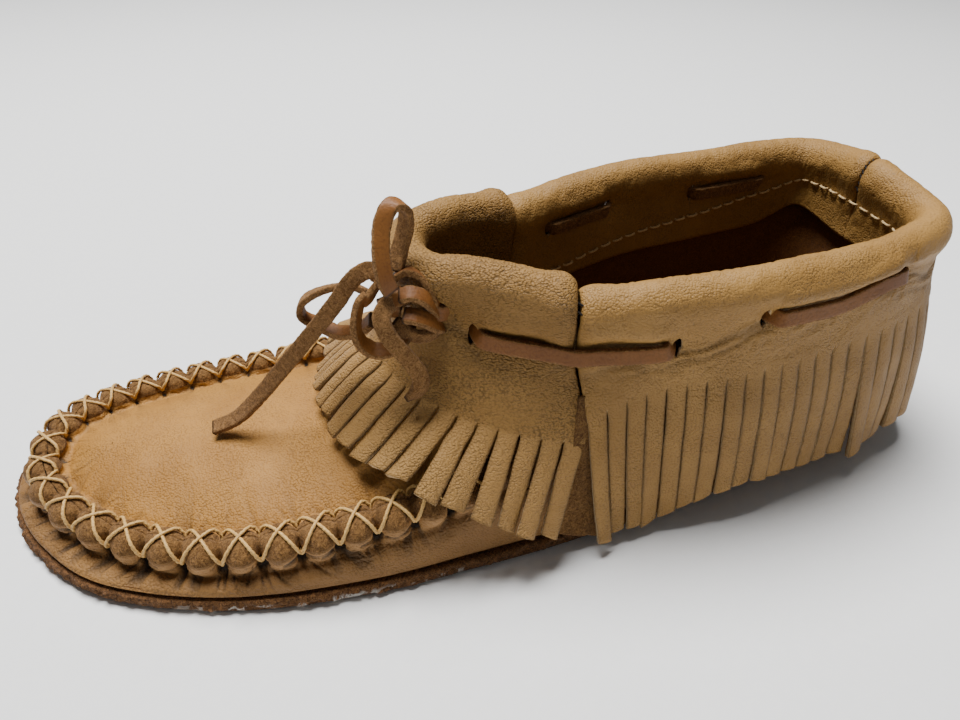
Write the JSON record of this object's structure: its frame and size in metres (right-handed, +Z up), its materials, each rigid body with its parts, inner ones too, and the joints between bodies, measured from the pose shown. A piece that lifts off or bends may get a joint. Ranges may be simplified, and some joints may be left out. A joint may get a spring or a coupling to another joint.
{
  "type": "moccasin",
  "caption": "Low leather moccasin for the left foot: flat outsole, puckered toe laced round a plug, folded fringed ankle cuffs and a leather lace tied in a bow at the front.",
  "frame": {"origin": "on the ground, under the middle of the shoe's box without the tied lace's free ends", "axes": "+Z up, -X towards the toe, +X towards the heel, +Y towards the inner side of the foot, where the other shoe stands"},
  "size_m": [0.2608, 0.0984, 0.0882],
  "materials": {
    "outsole_leather": "rough suede edge, worn",
    "tan_leather": "soft tan leather with fine grain",
    "cuff_leather": "soft tan leather with pebbled grain, suede inside",
    "lace_leather": "smooth one side, suede the other",
    "waxed_cord": "waxed cord",
    "dark_thread": "matt thread"
  },
  "bodies": {
    "shoe": {"outsole": "outsole_leather", "bottom": "tan_leather", "plug": "tan_leather", "front_cuff": "cuff_leather", "near_cuff": "cuff_leather", "far_cuff": "cuff_leather", "plug_lacing": "waxed_cord", "hem_thread": "waxed_cord", "near_seam_thread": "dark_thread", "far_seam_thread": "dark_thread", "heel_seam_thread": "dark_thread", "lace": "lace_leather", "lace_knot": "lace_leather", "lace_tall_loop": "lace_leather", "lace_left_loop": "lace_leather", "lace_low_loop": "lace_leather"},
    "long_tail": {"lace_long_tail": "lace_leather"},
    "short_tail": {"lace_short_tail": "lace_leather"}
  },
  "joints": [
    {"name": "long_tail_lift", "type": "hinge", "parent": "shoe", "child": "long_tail", "pos_m": [-0.03, -0.01601, 0.07], "axis": [0.3532, 0.9355, 0], "range_deg": [0, 60]},
    {"name": "short_tail_lift", "type": "hinge", "parent": "shoe", "child": "short_tail", "pos_m": [-0.0312, -0.02241, 0.066], "axis": [-0.7071, 0.7071, 0], "range_deg": [0, 70]}
  ]
}
